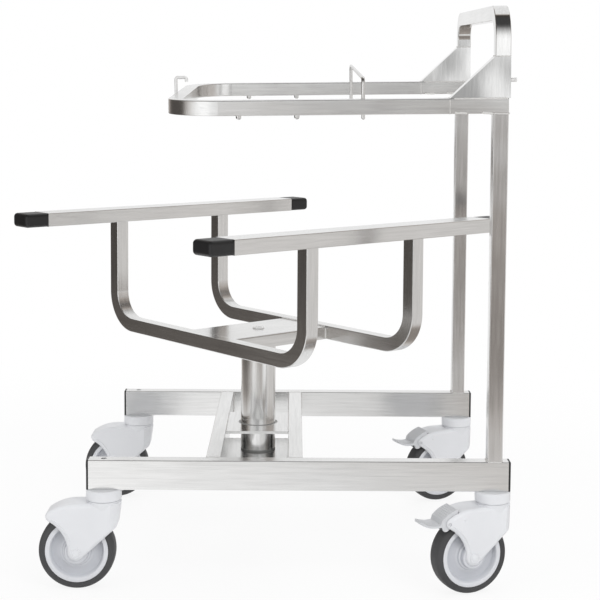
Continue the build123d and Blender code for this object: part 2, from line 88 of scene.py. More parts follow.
Pair = tuple[float, float]
Profile = tuple[Pair, ...]
Piece = bpy.types.Object
CORNERS = ("near_left", "near_right", "far_left", "far_right")
BRAKED = ("near_right", "far_right")


class Signal:
    """Output socket of a shader node, whose arithmetic adds Math nodes."""

    def __init__(self, graph: Graph, socket: bpy.types.NodeSocket) -> None:
        """Wrap one socket of a graph."""
        self.graph = graph
        self.socket = socket

    def _math(self, operation: str, first: Any, second: Any) -> Signal:
        """Add one Math node.

        Args:
            operation: The node's operation.
            first: Number or signal for the first input.
            second: Number or signal for the second input.

        Returns:
            The node's value.
        """
        return self.graph.node("ShaderNodeMath", {"operation": operation}, {0: first, 1: second})

    def __add__(self, other: Any) -> Signal:
        """Sum."""
        return self._math("ADD", self, other)

    __radd__ = __add__

    def __sub__(self, other: Any) -> Signal:
        """Difference."""
        return self._math("SUBTRACT", self, other)

    def __rsub__(self, other: Any) -> Signal:
        """Reflected difference."""
        return self._math("SUBTRACT", other, self)

    def __mul__(self, other: Any) -> Signal:
        """Product."""
        return self._math("MULTIPLY", self, other)

    __rmul__ = __mul__

    def __pow__(self, other: Any) -> Signal:
        """Power."""
        return self._math("POWER", self, other)

    def larger(self, other: Any) -> Signal:
        """Larger of two values."""
        return self._math("MAXIMUM", self, other)

    def size(self) -> Signal:
        """Value without its sign."""
        return self._math("ABSOLUTE", self, 0.0)

    def bearing(self, ahead: Any) -> Signal:
        """Angle in degrees of this value against the one ahead."""
        return self._math("ARCTAN2", self, ahead) * math.degrees(1.0)

    def rise(self, start: float, end: float) -> Signal:
        """Smooth step.

        Args:
            start: Value at which the step leaves 0.
            end: Value at which it reaches 1.

        Returns:
            A value from 0 to 1.
        """
        settings = {"interpolation_type": "SMOOTHSTEP"}
        limits = {0: self, 1: start, 2: end, 3: 0.0, 4: 1.0}
        return self.graph.node("ShaderNodeMapRange", settings, limits)


class Graph:
    """Node graph of a material or of the world."""

    def __init__(self, tree: bpy.types.NodeTree) -> None:
        """Empty a node tree and keep it."""
        tree.nodes.clear()
        self.tree = tree

    def node(self, kind: str, settings: dict[str, Any] | None = None,
             inputs: dict[str | int, Any] | None = None, output: str | int = 0) -> Signal:
        """Add one node.

        Args:
            kind: Type of the node.
            settings: Properties that are set first, such as a Math node's operation.
            inputs: Values or signals by the socket's name or number.
            output: Name or number of the output that is wanted.

        Returns:
            That output.
        """
        made = self.tree.nodes.new(kind)
        for key, value in (settings or {}).items():
            setattr(made, key, value)
        for key, value in (inputs or {}).items():
            if isinstance(value, Signal):
                self.tree.links.new(value.socket, made.inputs[key])
            else:
                made.inputs[key].default_value = value
        return Signal(self, made.outputs[output]) if made.outputs else Signal(self, None)

    def blend(self, factor: Any, first: Any, second: Any) -> Signal:
        """Mix two colours.

        Args:
            factor: 0 for the first colour, 1 for the second.
            first: Colour or signal.
            second: Colour or signal.

        Returns:
            The mixed colour.
        """
        return self.node("ShaderNodeMix", {"data_type": "RGBA"}, {0: factor, 6: first, 7: second}, 2)

    def part(self, vector: Signal, axis: str) -> Signal:
        """One coordinate of a vector."""
        return self.node("ShaderNodeSeparateXYZ", {}, {0: vector}, axis)

    def rays(self) -> tuple[Signal, ...]:
        """Signals that are 1 for camera, glossy and transmission rays."""
        kinds = ("Is Camera Ray", "Is Glossy Ray", "Is Transmission Ray")
        return tuple(self.node("ShaderNodeLightPath", output=kind) for kind in kinds)

    def scaled(self, colour: Signal, level: Signal) -> Signal:
        """Colour made brighter or darker by a level."""
        inputs = {0: colour, "Scale": level}
        return self.node("ShaderNodeVectorMath", {"operation": "SCALE"}, inputs)

    def noise(self, spot: Signal, scale: float, detail: float = 2.0) -> Signal:
        """Noise around 0.5 at a place."""
        return self.node("ShaderNodeTexNoise", {}, {"Vector": spot, "Scale": scale, "Detail": detail})

    def close(self, surface: Signal, kind: str = "ShaderNodeOutputMaterial") -> None:
        """Connect a shader to the output."""
        self.node(kind, {}, {"Surface": surface})


def new_graph(name: str) -> tuple[bpy.types.Material, Graph]:
    """Make a node material.

    Args:
        name: The material's name.

    Returns:
        The material and its empty graph.
    """
    material = bpy.data.materials.new(name)
    material.use_nodes = True
    return material, Graph(material.node_tree)


class Brush(Enum):
    """Way in which a tube was brushed, as the turn of the brush's own X in degrees about Y and Z."""

    ALONG_X = (0.0, 0.0)
    ALONG_Y = (0.0, 90.0)
    UPRIGHT = (90.0, 0.0)
    CRADLE_LONG = (0.0, 40.0)
    CRADLE_CROSS = (0.0, 130.0)


class Line(Enum):
    """Coordinate along which a bent tube changes its brushing."""

    X = "X"
    Z = "Z"


@dataclass(frozen=True)
class Turn:
    """Where a bent tube's brushing turns with the bend."""

    line: Line
    start: float
    end: float
    brush: Brush


@dataclass(frozen=True)
class BrushedSteel:
    """Stainless tube with brush marks along it."""

    name: str
    brush: Brush
    turn: Turn | None = None
    tone: Colour = (0.82, 0.82, 0.815, 1.0)
    roughness: float = 0.21
    grain: float = 0.10
    wear: float = 0.12
    relief: float = 0.06
    tilt: float = 0.0
    swing: float = 0.0
    metal: float = 1.0
    fine: float = 1500.0
    streak: float = 260.0
    run: float = 7.0
    streak_stretch: float = 2.0
    fine_share: float = 0.45
    mark_share: float = 0.75
    mark_detail: float = 3.0
    mark_depth: float = 0.0004
    dull: float = 0.84
    tone_steps: Pair = (0.30, 0.66)
    hand_scale: float = 11.0
    cloud_scale: float = 3.5
    wave_scale: float = 9.0
    wave: float = 0.0014

    def marks(self, graph: Graph, spot: Signal, brush: Brush) -> Signal:
        """Brush marks in one direction.

        Args:
            graph: The material's graph.
            spot: Object coordinates.
            brush: Direction of the marks.

        Returns:
            Fine noise and wider streaks drawn out along the brush.
        """
        about_y, about_z = brush.value
        turned = (0.0, math.radians(about_y), math.radians(about_z))
        layers = []
        for fine, run in ((self.fine, self.run), (self.streak, self.streak_stretch * self.run)):
            size = (1.0 / run, 1.0 / fine, 1.0 / fine)
            place = {"Vector": spot, "Rotation": turned, "Scale": size}
            drawn = graph.node("ShaderNodeMapping", {"vector_type": "TEXTURE"}, place)
            layers.append(graph.noise(drawn, 1.0, self.mark_detail))
        return self.fine_share * layers[0] + (1.0 - self.fine_share) * layers[1]

    def material(self) -> bpy.types.Material:
        """Make the material."""
        material, graph = new_graph(self.name)
        spot = graph.node("ShaderNodeTexCoord", output="Object")
        marks = self.marks(graph, spot, self.brush)
        if self.turn:
            part = graph.part(spot, self.turn.line.value)
            beyond = part.rise(self.turn.start, self.turn.end)
            other = self.marks(graph, spot, self.turn.brush)
            marks = marks + beyond * (other - marks)
        hands = graph.noise(spot, self.hand_scale, self.mark_detail)
        cloud = graph.noise(spot, self.cloud_scale, detail=1.0)
        dull = tuple(self.dull * part for part in self.tone[:3]) + (1.0,)
        clean = marks * self.mark_share + cloud * (1.0 - self.mark_share)
        colour = graph.blend(clean.rise(*self.tone_steps), dull, self.tone)
        rough = self.roughness + self.grain * (marks - 0.5) + self.wear * (hands - 0.5)
        along, upward = graph.part(spot, "X"), graph.part(spot, "Z")
        waves = self.wave * graph.noise(spot, self.wave_scale, detail=1.0)
        slope = waves - self.tilt * upward - self.swing * along
        sheet = {"Strength": 1.0, "Distance": 1.0, "Height": slope}
        flat = graph.node("ShaderNodeBump", {}, sheet)
        relief = {"Strength": self.relief, "Distance": self.mark_depth, "Height": marks, "Normal": flat}
        bump = graph.node("ShaderNodeBump", {}, relief)
        surface = {"Base Color": colour, "Roughness": rough, "Metallic": self.metal, "Normal": bump}
        graph.close(graph.node("ShaderNodeBsdfPrincipled", {}, surface))
        return material


@dataclass(frozen=True)
class MouldedPlastic:
    """Moulded plastic with a fine mould grain and faint flow clouds, and painted shade where a mesh
    marks it.
    """

    name: str
    tone: Colour
    shade: Colour
    roughness: float = 0.42
    grain: float = 1400.0
    relief: float = 0.05
    # colour of painted shade in recesses, on meshes that carry the shade attribute
    painted_shade: Colour | None = None
    flow_scale: float = 14.0
    flow_share: float = 0.75
    flow_dulls: float = 0.10
    grain_dulls: float = 0.08
    grain_depth: float = 0.0003
    tone_steps: Pair = (0.3, 0.7)
    painted_shade_steps: Pair = (0.7, 0.6)

    def material(self) -> bpy.types.Material:
        """Make the material."""
        material, graph = new_graph(self.name)
        spot = graph.node("ShaderNodeTexCoord", output="Object")
        flow = graph.noise(spot, self.flow_scale, detail=3.0)
        speck = graph.noise(spot, self.grain)
        clean = flow * self.flow_share + speck * (1.0 - self.flow_share)
        colour = graph.blend(clean.rise(*self.tone_steps), self.shade, self.tone)
        # painted shade: where a mesh carries the shade attribute, the colour darkens towards the shade
        # colour, a little unevenly with the flow clouds
        if self.painted_shade:
            painted_shade_layer = graph.node("ShaderNodeAttribute", {"attribute_name": PAINTED_SHADE}, output="Fac")
            least, more = self.painted_shade_steps
            colour = graph.blend(painted_shade_layer * (least + more * flow), colour, self.painted_shade)
        rough = self.roughness + self.flow_dulls * (flow - 0.5) + self.grain_dulls * (speck - 0.5)
        relief = {"Strength": self.relief, "Distance": self.grain_depth, "Height": speck}
        bump = graph.node("ShaderNodeBump", {}, relief)
        surface = {"Base Color": colour, "Roughness": rough, "Normal": bump}
        graph.close(graph.node("ShaderNodeBsdfPrincipled", {}, surface))
        return material


FRAME_LEAN = 3.1  # degrees by which the CAD's pan frame leans
LEAN = math.tan(math.radians(FRAME_LEAN))
STEEL_X = BrushedSteel("steel_brushed_x", Brush.ALONG_X)
STEEL_Y = BrushedSteel("steel_brushed_y", Brush.ALONG_Y)
# the posts' steel has a darker tone than the rest: painted shade for the darker room that the posts
# reflect
SHADED_STEEL_POST = BrushedSteel("steel_brushed_upright", Brush.UPRIGHT, tone=(0.76, 0.755, 0.75, 1.0))
STEEL_FRAME = BrushedSteel("steel_pan_frame", Brush.ALONG_X,
                           Turn(Line.X, -0.085, -0.125, Brush.ALONG_Y), tilt=LEAN)
STEEL_END = BrushedSteel("steel_frame_end", Brush.ALONG_X, tilt=LEAN)
SMOOTH: dict[str, float] = {
    "tilt": LEAN, "roughness": 0.08, "grain": 0.03, "wear": 0.02, "relief": 0.02,
}
STEEL_BRACKET = BrushedSteel("steel_bracket", Brush.UPRIGHT, **SMOOTH)
STEEL_BRACKET_FAR = BrushedSteel("steel_bracket_far", Brush.UPRIGHT, swing=0.019, **SMOOTH)
STEEL_HANDLE = BrushedSteel("steel_handle", Brush.UPRIGHT,
                            Turn(Line.Z, 0.937, 0.957, Brush.ALONG_Y), swing=0.014, **SMOOTH)
STEEL_CRADLE = BrushedSteel("steel_cradle_rail", Brush.CRADLE_LONG)
STEEL_BOW = BrushedSteel("steel_cradle_bow", Brush.CRADLE_CROSS,
                         Turn(Line.Z, 0.40, 0.43, Brush.UPRIGHT))
STEEL_COLUMN = BrushedSteel("steel_column", Brush.UPRIGHT, roughness=0.18)
STEEL_ROD = BrushedSteel("steel_rod", Brush.ALONG_Y, tone=(0.92, 0.92, 0.915, 1.0),
                         roughness=0.40, metal=0.3)
STEEL_FIXING = BrushedSteel("steel_fixing", Brush.UPRIGHT, roughness=0.26, run=60.0)
STEEL_WELD = BrushedSteel("steel_weld", Brush.ALONG_X, tone=(0.88, 0.87, 0.85, 1.0),
                          roughness=0.45, metal=0.45, fine=500.0, run=400.0)
BLACK_CAP = MouldedPlastic("plastic_black_cap", (0.015, 0.015, 0.016, 1.0),
                           (0.010, 0.010, 0.011, 1.0), 0.45)
CASTER_GREY = MouldedPlastic("plastic_caster", (0.80, 0.81, 0.835, 1.0),
                             (0.77, 0.78, 0.805, 1.0), 0.38)
PEDAL_GREY = MouldedPlastic("plastic_pedal", (0.66, 0.67, 0.69, 1.0), (0.62, 0.63, 0.65, 1.0), 0.42)
# wheel core: painted shade darkens its dish, creases and hub
CORE_GREY = MouldedPlastic("plastic_wheel_core", (0.74, 0.75, 0.78, 1.0), (0.70, 0.71, 0.74, 1.0),
                           0.40, painted_shade=(0.36, 0.38, 0.43, 1.0))
BUSH_GREY = MouldedPlastic("plastic_bearing", (0.42, 0.42, 0.41, 1.0), (0.38, 0.38, 0.37, 1.0), 0.40)
TYRE_GREY = MouldedPlastic("rubber_tyre", (0.062, 0.062, 0.064, 1.0), (0.045, 0.045, 0.047, 1.0),
                           0.62, grain=600.0, relief=0.2)


Finish = BrushedSteel | MouldedPlastic


class Dresser:
    """Keeps one material for each finish and puts it on nodes and pieces."""

    def __init__(self, frame: dict[str, Any]) -> None:
        """Keep the loaded frame."""
        self.nodes = frame["nodes"]
        self.made: dict[str, bpy.types.Material] = {}

    def of(self, finish: Finish) -> bpy.types.Material:
        """Material of a finish, made at its first use."""
        if finish.name not in self.made:
            self.made[finish.name] = finish.material()
        return self.made[finish.name]

    def paint(self, finish: Finish, *names: str) -> None:
        """Put a finish on nodes.

        Args:
            finish: The finish.
            names: The nodes.
        """
        for name in names:
            slots = self.nodes[name].material_slots
            for slot in slots:
                slot.material = self.of(finish)
            if not slots:
                self.nodes[name].data.materials.append(self.of(finish))
        LOG.info("%s on %s", finish.name, ", ".join(names))

    def fit(self, piece: Piece, finish: Finish, body: str, slot: str, *nodes: str) -> None:
        """Finish a new piece and let it ride.

        Args:
            piece: The piece, in its place.
            finish: Its finish.
            body: The body on which it rides.
            slot: The record's material slot; not used.
            nodes: Nodes that it stands for.
        """
        piece.data.materials.clear()
        piece.data.materials.append(self.of(finish))
        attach(piece, body)
        if nodes:
            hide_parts(*nodes)
        LOG.info("%s rides on %s", piece.name, body)


def clear_selection() -> None:
    """Leave edit mode and deselect everything."""
    if bpy.context.object and bpy.context.object.mode != "OBJECT":
        bpy.ops.object.mode_set(mode="OBJECT")
    bpy.ops.object.select_all(action="DESELECT")


def take(*pieces: Piece) -> None:
    """Select only these pieces, the first as the active one."""
    clear_selection()
    for piece in pieces:
        piece.select_set(True)
    bpy.context.view_layer.objects.active = pieces[0]


def pick(piece: Piece, kind: str, test: Callable[..., bool]) -> None:
    """Select vertices or edges in edit mode, with what lies between them.

    Args:
        piece: The active piece.
        kind: VERT or EDGE.
        test: Tells by a vertex's place, or by those of an edge's two ends, whether it is wanted.
    """
    bpy.ops.object.mode_set(mode="EDIT")
    bpy.ops.mesh.select_mode(type=kind)
    bpy.ops.mesh.select_all(action="DESELECT")
    mesh = bmesh.from_edit_mesh(piece.data)
    for item in mesh.edges if kind == "EDGE" else mesh.verts:
        ends = item.verts if kind == "EDGE" else (item,)
        item.select_set(test(*(end.co for end in ends)))
    mesh.select_flush_mode()
    bmesh.update_edit_mesh(piece.data)


def put(piece: Piece, place: Matrix) -> None:
    """Move a piece and keep its place in its mesh."""
    take(piece)
    piece.matrix_world = place
    bpy.ops.object.transform_apply(location=True, rotation=True, scale=True)


def settle(piece: Piece, name: str, angle: float = 40.0) -> Piece:
    """Close a modelled piece's seams, turn its faces outward and shade it.

    Args:
        piece: The piece.
        name: Its name.
        angle: Edges sharper than this, in degrees, stay sharp.

    Returns:
        The piece.
    """
    take(piece)
    bpy.ops.object.mode_set(mode="EDIT")
    bpy.ops.mesh.select_all(action="SELECT")
    bpy.ops.mesh.remove_doubles(threshold=DOUBLES * MM)
    bpy.ops.mesh.normals_make_consistent(inside=False)
    bpy.ops.object.mode_set(mode="OBJECT")
    bpy.ops.object.shade_smooth_by_angle(angle=math.radians(angle))
    piece.name = name
    piece.data.name = name
    return piece


def copy(piece: Piece, name: str, place: Matrix) -> Piece:
    """Copy a modelled piece with its own mesh.

    Args:
        piece: The piece, about the origin.
        name: The copy's name.
        place: The copy's place.

    Returns:
        The copy.
    """
    take(piece)
    bpy.ops.object.duplicate(linked=False)
    made = bpy.context.object
    put(made, place)
    made.name = name
    made.data.name = name
    return made


def join(pieces: list[Piece]) -> Piece:
    """Join pieces into one."""
    take(*pieces)
    bpy.ops.object.join()
    return bpy.context.object


def discard(*pieces: Piece) -> None:
    """Delete pieces that were only copied from."""
    take(*pieces)
    bpy.ops.object.delete()


def spin_profile(profile: Profile, steps: int = 96) -> Piece:
    """Draw a closed profile point by point and spin it about Y.

    Args:
        profile: Radius and place along Y of each point, in millimetres.
        steps: Steps of the spin.

    Returns:
        The new piece about the origin.
    """
    clear_selection()
    bpy.ops.mesh.primitive_plane_add(size=MM)
    piece = bpy.context.object
    bpy.ops.object.mode_set(mode="EDIT")
    bpy.ops.mesh.select_all(action="SELECT")
    bpy.ops.mesh.merge(type="CENTER")
    bpy.ops.transform.translate(value=(profile[0][0] * MM, profile[0][1] * MM, 0.0))
    for (radius, along), (next_radius, next_along) in zip(profile, profile[1:] + profile[:1]):
        step = ((next_radius - radius) * MM, (next_along - along) * MM, 0.0)
        bpy.ops.mesh.extrude_vertices_move(TRANSFORM_OT_translate={"value": step})
    bpy.ops.mesh.select_all(action="SELECT")
    bpy.ops.mesh.remove_doubles(threshold=DOUBLES * MM)
    bpy.ops.mesh.select_all(action="SELECT")
    bpy.ops.mesh.spin(steps=steps, angle=math.tau, center=(0.0, 0.0, 0.0), axis=(0.0, 1.0, 0.0))
    return piece


def both_sides(side: Profile) -> Profile:
    """Profile of a wheel from its one side, which runs outward."""
    return side + tuple((radius, -along) for radius, along in reversed(side))


@dataclass(frozen=True)
class Seam:
    """Weld bead between two points, in millimetres."""

    start: Point
    end: Point
    radius: float
    sides: int = 10
    ring_gap: float = 2.2
    fewest_rings: int = 3
    end_taper: float = 0.45

    def lay(self) -> Piece:
        """Model the bead as a tapered rod with rings along it."""
        start, end = Vector(self.start) * MM, Vector(self.end) * MM
        along = end - start
        half = along.length / 2
        clear_selection()
        bpy.ops.mesh.primitive_cylinder_add(vertices=self.sides, radius=self.radius * MM,
                                            depth=along.length)
        bead = bpy.context.object
        pick(bead, "EDGE", lambda one, other: abs(one.z - other.z) > half)
        rings = round(along.length / (self.ring_gap * MM))
        bpy.ops.mesh.subdivide(number_cuts=max(self.fewest_rings, rings))
        pick(bead, "VERT", lambda spot: abs(spot.z) > AT_END * half)
        bpy.ops.transform.resize(value=(self.end_taper, self.end_taper, 1.0),
                                 center_override=(0.0, 0.0, 0.0))
        bpy.ops.object.mode_set(mode="OBJECT")
        turn = along.to_track_quat("Z", "Y").to_matrix().to_4x4()
        put(bead, Matrix.Translation((start + end) / 2) @ turn)
        return bead


def weld(name: str, seams: Iterable[Seam], place: Matrix, rings: Iterable[Piece] = ()) -> Piece:
    """Join weld beads and ripple them.

    Args:
        name: The welds' name.
        seams: The seams, in the place's own axes.
        place: Where they go.
        rings: Beads that are modelled already.

    Returns:
        The welds as one piece.
    """
    piece = join([seam.lay() for seam in seams] + list(rings))
    put(piece, place)
    clouds = bpy.data.textures.new(name, "CLOUDS")
    clouds.noise_scale = WELD_CLOUD * MM
    ripple = piece.modifiers.new("ripple", "DISPLACE")
    ripple.texture = clouds
    ripple.strength = WELD_RIPPLE * MM
    bpy.ops.object.modifier_apply(modifier=ripple.name)
    return settle(piece, name, WELD_SMOOTH)


def square_seams(middle: Point, half: float, radius: float) -> Iterator[Seam]:
    """Four beads round a square tube that stands upright.

    Args:
        middle: Middle of the tube in the plane of the seam.
        half: Half of the tube's side.
        radius: The beads' radius.

    Returns:
        The seams.
    """
    x, y, z = middle
    short = half - radius
    for off in (-half, half):
        yield Seam((x - short, y + off, z), (x + short, y + off, z), radius)
        yield Seam((x + off, y - short, z), (x + off, y + short, z), radius)


@dataclass
class Base:
    """Rails, cross members and the column's socket."""

    half: float = 12.5
    rail_y: float = 267.0
    low: float = 167.5
    top: float = 217.5
    cross_x: float = 68.5
    post_x: float = 399.0
    plate: float = 75.0
    corner_bead: float = 1.7
    ground_bead: float = 0.7
    ground_drop: float = 0.2
    foot_bead: float = 1.0
    foot_half: float = 11.0
    plate_bead: float = 0.9
    strip_bead: float = 1.5
    low_gap: float = 3.0
    end_gap: float = 2.0

    def cross_seams(self) -> Iterator[Seam]:
        """Beads in the corners between rails and cross members, and the ground ones on top."""
        face = self.rail_y - self.half
        low, high = self.low + self.low_gap, self.top - self.end_gap
        ground = self.top - self.ground_drop
        for x in (-self.cross_x, self.cross_x):
            left, right = x - self.half, x + self.half
            for y in (-face, face):
                for side in (left, right):
                    yield Seam((side, y, low), (side, y, high), self.corner_bead)
                yield Seam((left, y, ground), (right, y, ground), self.ground_bead)

    def other_seams(self) -> Iterator[Seam]:
        """Beads at the feet of the posts and along the socket plates."""
        for y in (-self.rail_y, self.rail_y):
            yield from square_seams((self.post_x, y, self.top), self.half, self.foot_bead)
            near, far = y - self.foot_half, y + self.foot_half
            for side in (self.post_x - self.half, self.post_x + self.half):
                yield Seam((side, near, self.top), (side, far, self.top), self.corner_bead)
        inner, outer = self.cross_x - self.half, self.cross_x + self.half
        long = self.plate - self.end_gap
        for sign in (-1, 1):
            x, end = sign * inner, sign * outer
            yield Seam((x, -long, self.top), (x, long, self.top), self.plate_bead)
            for y in (-self.plate, self.plate):
                yield Seam((x, y, self.low), (end, y, self.low), self.strip_bead)

    def build(self, dresser: Dresser) -> None:
        """Model the welds."""
        seams = (*self.cross_seams(), *self.other_seams())
        dresser.fit(weld("base_welds", seams, Matrix.Identity(4)), STEEL_WELD, "base", "steel")

    def dress(self, dresser: Dresser) -> None:
        """Put the finishes on."""
        dresser.paint(STEEL_X, "base_rail_near", "base_rail_far")
        dresser.paint(STEEL_Y, "cross_member_left", "cross_member_right")
        dresser.paint(STEEL_Y, "socket_plate_upper", "socket_plate_lower")
        dresser.paint(BUSH_GREY, "column_bush", "thrust_washer")
        dresser.paint(BLACK_CAP, *(f"rail_cap_{corner}" for corner in CORNERS))


@dataclass
class UpperFrame:
    """Posts, pan frame, handle and what is welded to them."""

    underside: Point = (74.0, 0.0, 803.5)
    lean: float = FRAME_LEAN
    droop: float = -0.9
    half: float = 12.5
    bar_y: float = 267.0
    join_x: float = 242.0
    end_x: float = 337.5
    post_x: float = 325.0
    handle_x: float = 328.0
    bracket_rise: float = 68.0
    bail_x: float = 102.5
    left_x: float = -222.0
    thin_bead: float = 0.8
    cross_half: float = 11.0
    post_bead: float = 2.2
    rod_side: float = 2.6
    rod_bead: float = 1.0
    bail_span: Pair = (3.0, 22.0)
    hook_span: Pair = (10.0, 23.0)

    def place(self) -> Matrix:
        """Place of the leaning frame, with its underside at Z = 0."""
        lean = Matrix.Rotation(math.radians(self.lean), 4, "X")
        droop = Matrix.Rotation(math.radians(self.droop), 4, "Y")
        return Matrix.Translation(Vector(self.underside) * MM) @ lean @ droop

    def side_seams(self, y: float) -> Iterator[Seam]:
        """Beads round one end of the frame, its bracket, its post and its leg of the handle.

        Args:
            y: Middle of the bar.

        Returns:
            The seams.
        """
        side = 2 * self.half
        joint, left, right = self.join_x, self.post_x - self.half, self.post_x + self.half
        # X and Z of a bead's two ends on a face, and its radius
        on_face = (
            (joint + 6.0, side, self.end_x - 1.0, side, 1.2),
            (joint, 1.5, joint, side - 1.5, 0.5),
            (joint + 8.0, 2.0, joint + 28.0, 1.2, 2.0),
            (left, 0.0, right, 0.0, 1.1),
            (self.post_x - 31.0, 2.0, left, 0.5, 2.2),
        )
        top = (self.handle_x, y, side + self.bracket_rise)
        yield from square_seams(top, self.half, self.thin_bead)
        for face in (y - self.half, y + self.half):
            for x, z, end_x, end_z, radius in on_face:
                yield Seam((x, face, z), (end_x, face, end_z), radius)
        near, far = y - self.cross_half, y + self.cross_half
        for z in (0.0, side):
            yield Seam((joint, near, z), (joint, far, z), self.thin_bead)
        for x in (left, right):
            yield Seam((x, near, 0.0), (x, far, 0.0), self.post_bead)

    def rod_seams(self) -> Iterator[Seam]:
        """Beads along the rods that are welded to the bars."""
        low, high = self.bail_span
        for x in (self.bail_x - self.rod_side, self.bail_x + self.rod_side):
            for y in (self.half - self.bar_y, self.bar_y - self.half):
                yield Seam((x, y, low), (x, y, high), self.rod_bead)
        low, high = self.hook_span
        for y in (-self.rod_side, self.rod_side):
            yield Seam((self.left_x, y, low), (self.left_x, y, high), self.rod_bead)

    def build(self, dresser: Dresser) -> None:
        """Model the welds."""
        both = (*self.side_seams(-self.bar_y), *self.side_seams(self.bar_y))
        seams = (*both, *self.rod_seams())
        dresser.fit(weld("frame_welds", seams, self.place()), STEEL_WELD, "base", "steel")

    def dress(self, dresser: Dresser) -> None:
        """Put the finishes on."""
        for side in ("near", "far"):
            dresser.paint(SHADED_STEEL_POST, f"post_{side}")
            dresser.paint(STEEL_END, f"frame_end_{side}")
        dresser.paint(STEEL_BRACKET, "handle_bracket_near")
        dresser.paint(STEEL_BRACKET_FAR, "handle_bracket_far")
        dresser.paint(STEEL_FRAME, "top_frame")
        dresser.paint(STEEL_HANDLE, "handle")
        dresser.paint(STEEL_ROD, "pan_hook", "stub_pin")
        dresser.paint(STEEL_FIXING, "pan_stop_bail", "dome_fixings")


@dataclass
class Cradle:
    """Column with the turning cradle."""

    turn: float = 40.0
    half: float = 12.5
    bow_x: float = 120.5
    rail_y: float = 279.0
    rail_low: float = 575.5
    channel_top: float = 391.5
    channel_y: float = 64.0
    channel_wall: float = 3.0
    column_radius: float = 31.75
    channel_bead: float = 1.6
    leg_bead: float = 1.5
    ring_bead: float = 2.2
    end_gap: float = 2.0
    side_drop: float = 21.0
    bolt: Profile = (
        (0.0, 1.5), (4.6, 1.5), (5.0, 1.8), (5.3, 2.8), (6.0, 3.0), (8.0, 2.8), (9.6, 2.2),
        (10.7, 1.2), (11.0, 0.3), (11.0, -0.4), (0.0, -0.4),
    )

    def place(self) -> Matrix:
        """Turn of the cradle about its column."""
        return Matrix.Rotation(math.radians(self.turn), 4, "Z")

    def seams(self) -> Iterator[Seam]:
        """Beads between channel and bows and between bows and rails."""
        top, long = self.channel_top, self.channel_y - self.end_gap
        low, high = top - self.side_drop, top - self.end_gap
        for sign in (-1, 1):
            x = sign * (self.bow_x - self.half)
            yield Seam((x, -long, top), (x, long, top), self.channel_bead)
            for edge in (-self.channel_y, self.channel_y):
                yield Seam((x, edge, low), (x, edge, high), self.channel_bead)
            for y in (-self.rail_y, self.rail_y):
                leg = (sign * self.bow_x, y, self.rail_low)
                yield from square_seams(leg, self.half, self.leg_bead)

    def column_ring(self) -> Piece:
        """Bead round the top of the column, under the channel."""
        clear_selection()
        place = (0.0, 0.0, (self.channel_top - self.channel_wall) * MM)
        bpy.ops.mesh.primitive_torus_add(location=place, major_segments=72, minor_segments=10,
                                         major_radius=self.column_radius * MM,
                                         minor_radius=self.ring_bead * MM)
        ring = bpy.context.object
        put(ring, ring.matrix_world.copy())
        return ring

    def build(self, dresser: Dresser) -> None:
        """Model the welds and the button-head bolt on the channel."""
        piece = weld("cradle_welds", self.seams(), self.place(), [self.column_ring()])
        dresser.fit(piece, STEEL_WELD, "cradle", "steel")
        head = spin_profile(self.bolt, steps=64)
        top = Matrix.Translation((0.0, 0.0, self.channel_top * MM))
        put(head, top @ Matrix.Rotation(math.pi / 2, 4, "X"))
        head = settle(head, "column_bolt_head", angle=30.0)
        dresser.fit(head, STEEL_ROD, "cradle", "fixing_steel", "column_bolt")

    def dress(self, dresser: Dresser) -> None:
        """Put the finishes on."""
        dresser.paint(STEEL_COLUMN, "column", "column_foot")
        dresser.paint(STEEL_FIXING, "column_nut", "column_bolt")
        dresser.paint(STEEL_CRADLE, "cradle_channel", "cradle_rail_near", "cradle_rail_far")
        dresser.paint(STEEL_BOW, "cradle_bow_left", "cradle_bow_right")
        dresser.paint(BLACK_CAP, *(f"cradle_cap_{corner}" for corner in CORNERS))


